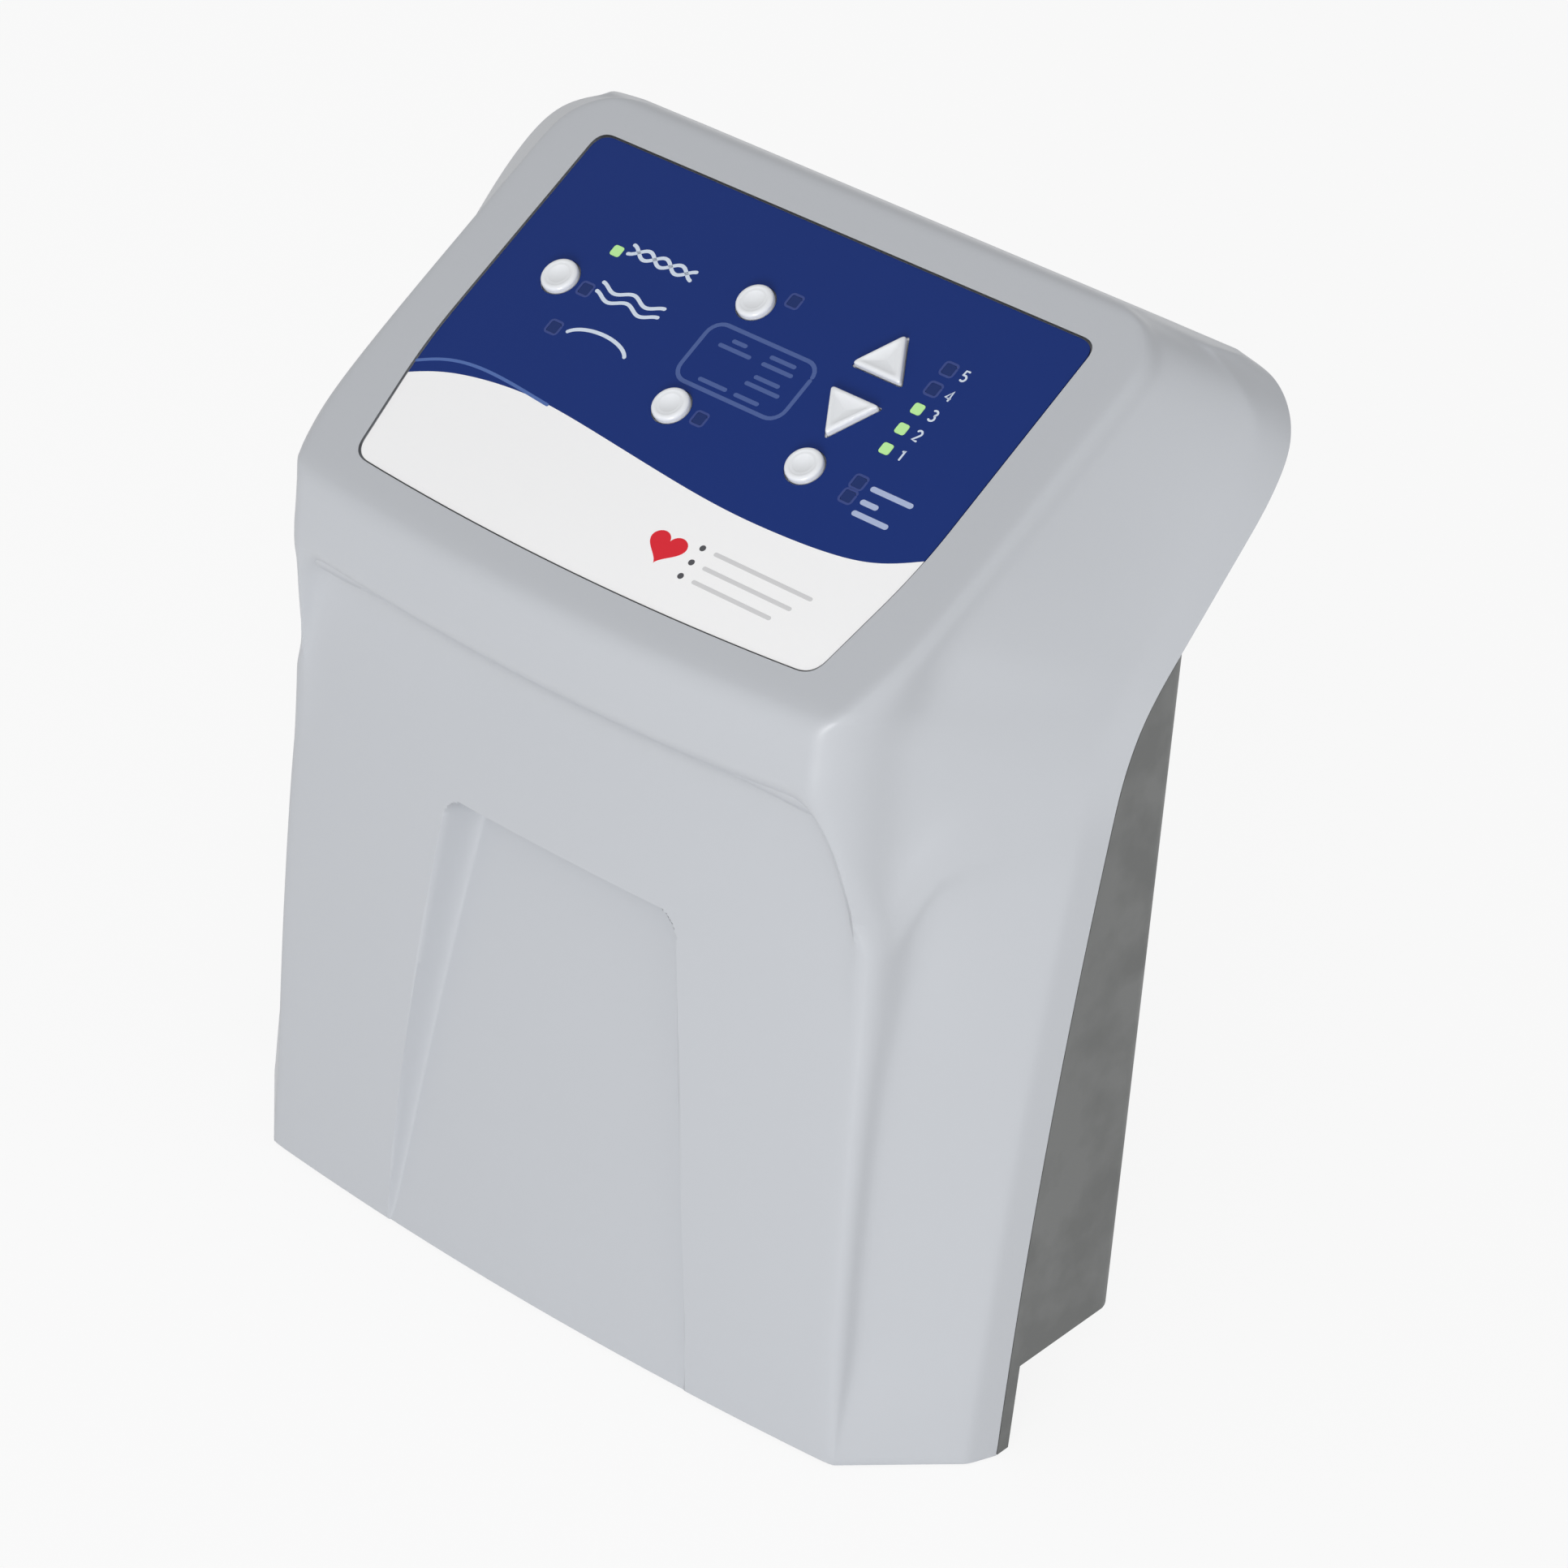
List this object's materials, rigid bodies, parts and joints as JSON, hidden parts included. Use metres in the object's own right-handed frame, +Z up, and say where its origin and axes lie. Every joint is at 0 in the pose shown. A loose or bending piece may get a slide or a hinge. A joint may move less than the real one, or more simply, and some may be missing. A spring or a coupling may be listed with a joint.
{
  "type": "alternating pressure mattress pump",
  "caption": "Bedside air pump control unit with a sloping button panel, hose nozzles below and fold-out hooks that hang it on a bed's footboard.",
  "frame": {"origin": "seat of the hooks: the middle of a footboard's top edge, midway between the two hooks, level with the underside of their arms", "axes": "+X to the right seen from the front, +Y to the back, +Z up"},
  "size_m": [0.282, 0.1704, 0.2997],
  "materials": {
    "light_case": "finely textured moulded plastic, light grey",
    "dark_case": "finely textured moulded plastic, dark grey",
    "panel_film": "printed film, satin, blue over white",
    "white_plastic": "plain moulded plastic",
    "button_cap": "glossy white domes",
    "silicone": "matt silicone",
    "lamp_lens": "clear lens over a green lamp",
    "circuit_board": "green solder mask",
    "zinc_steel": "zinc plated",
    "grey_cable": "flat cable",
    "core_steel": "laminated steel with copper windings",
    "cast_alloy": "as cast",
    "dark_magnet": "ferrite",
    "black_rubber": "matt",
    "ivory_plastic": "hard, smooth",
    "clear_tube": "milky silicone tube",
    "filter_foam": "open foam",
    "black_plastic": "smooth",
    "hook_steel": "nickel plated rod"
  },
  "bodies": {
    "housing": {"front_cover": "light_case", "rear_cover": "dark_case", "overlay": "panel_film", "button_plate": "white_plastic", "keypad_mat": "silicone", "lamps": "lamp_lens", "panel_board": "circuit_board", "panel_screws": "zinc_steel", "main_board": "circuit_board", "ribbon_cable": "grey_cable", "power_board": "circuit_board", "transformer": "core_steel", "board_screws": "zinc_steel", "valve_screws": "zinc_steel", "compressor_frame": "cast_alloy", "compressor_coil": "core_steel", "arm_pin": "zinc_steel", "compressor_mounts": "black_rubber", "valve_body": "white_plastic", "valve_motor": "zinc_steel", "air_tubes": "clear_tube", "hose_ports": "white_plastic", "filter": "filter_foam", "filter_cover": "dark_case", "mains_inlet": "black_plastic", "fuse_holders": "black_plastic", "switch_body": "black_plastic", "hook_clips": "dark_case", "rear_bumpers": "black_rubber", "housing_screws": "zinc_steel"},
    "mode_button": {"mode_button": "button_cap"},
    "firm_button": {"firm_button": "button_cap"},
    "lock_button": {"lock_button": "button_cap"},
    "sound_button": {"sound_button": "button_cap"},
    "raise_button": {"raise_button": "button_cap"},
    "lower_button": {"lower_button": "button_cap"},
    "switch_rocker": {"switch_rocker": "black_plastic"},
    "left_hook": {"left_hook": "hook_steel", "left_sleeve": "black_rubber"},
    "right_hook": {"right_hook": "hook_steel", "right_sleeve": "black_rubber"},
    "valve_rotor": {"valve_rotor": "ivory_plastic"},
    "compressor_arm": {"compressor_arm": "core_steel", "arm_magnets": "dark_magnet", "diaphragm": "black_rubber"}
  },
  "joints": [
    {"name": "mode_button_press", "type": "slide", "parent": "housing", "child": "mode_button", "axis": [0, 0.4764, -0.8792], "range_m": [0, 0.0008], "stiffness_N_per_m": 1500, "springref_m": -0.0004},
    {"name": "firm_button_press", "type": "slide", "parent": "housing", "child": "firm_button", "axis": [0, 0.4764, -0.8792], "range_m": [0, 0.0008], "stiffness_N_per_m": 1500, "springref_m": -0.0004},
    {"name": "lock_button_press", "type": "slide", "parent": "housing", "child": "lock_button", "axis": [0, 0.4764, -0.8792], "range_m": [0, 0.0008], "stiffness_N_per_m": 1500, "springref_m": -0.0004},
    {"name": "sound_button_press", "type": "slide", "parent": "housing", "child": "sound_button", "axis": [0, 0.4764, -0.8792], "range_m": [0, 0.0008], "stiffness_N_per_m": 1500, "springref_m": -0.0004},
    {"name": "raise_button_press", "type": "slide", "parent": "housing", "child": "raise_button", "axis": [0, 0.4764, -0.8792], "range_m": [0, 0.0008], "stiffness_N_per_m": 1500, "springref_m": -0.0004},
    {"name": "lower_button_press", "type": "slide", "parent": "housing", "child": "lower_button", "axis": [0, 0.4764, -0.8792], "range_m": [0, 0.0008], "stiffness_N_per_m": 1500, "springref_m": -0.0004},
    {"name": "switch_rock", "type": "hinge", "parent": "housing", "child": "switch_rocker", "pos_m": [-0.062, -0.07455, -0.17866], "axis": [0, 1, 0], "range_deg": [-16, 0]},
    {"name": "left_hook_fold", "type": "hinge", "parent": "housing", "child": "left_hook", "pos_m": [-0.078, -0.02821, -0.02921], "axis": [0, 0.1045, 0.9945], "range_deg": [-90, 0]},
    {"name": "right_hook_fold", "type": "hinge", "parent": "housing", "child": "right_hook", "pos_m": [0.078, -0.02821, -0.02921], "axis": [0, 0.1045, 0.9945], "range_deg": [0, 90]},
    {"name": "valve_turn", "type": "hinge", "parent": "housing", "child": "valve_rotor", "pos_m": [0.016, -0.08264, -0.04963], "axis": [0, 0.9945, -0.1045], "continuous": true},
    {"name": "arm_swing", "type": "hinge", "parent": "housing", "child": "compressor_arm", "pos_m": [-0.064, -0.07746, -0.06727], "axis": [0, 0.9945, -0.1045], "range_deg": [-1.5, 1.5], "stiffness_Nm_per_rad": 3}
  ]
}
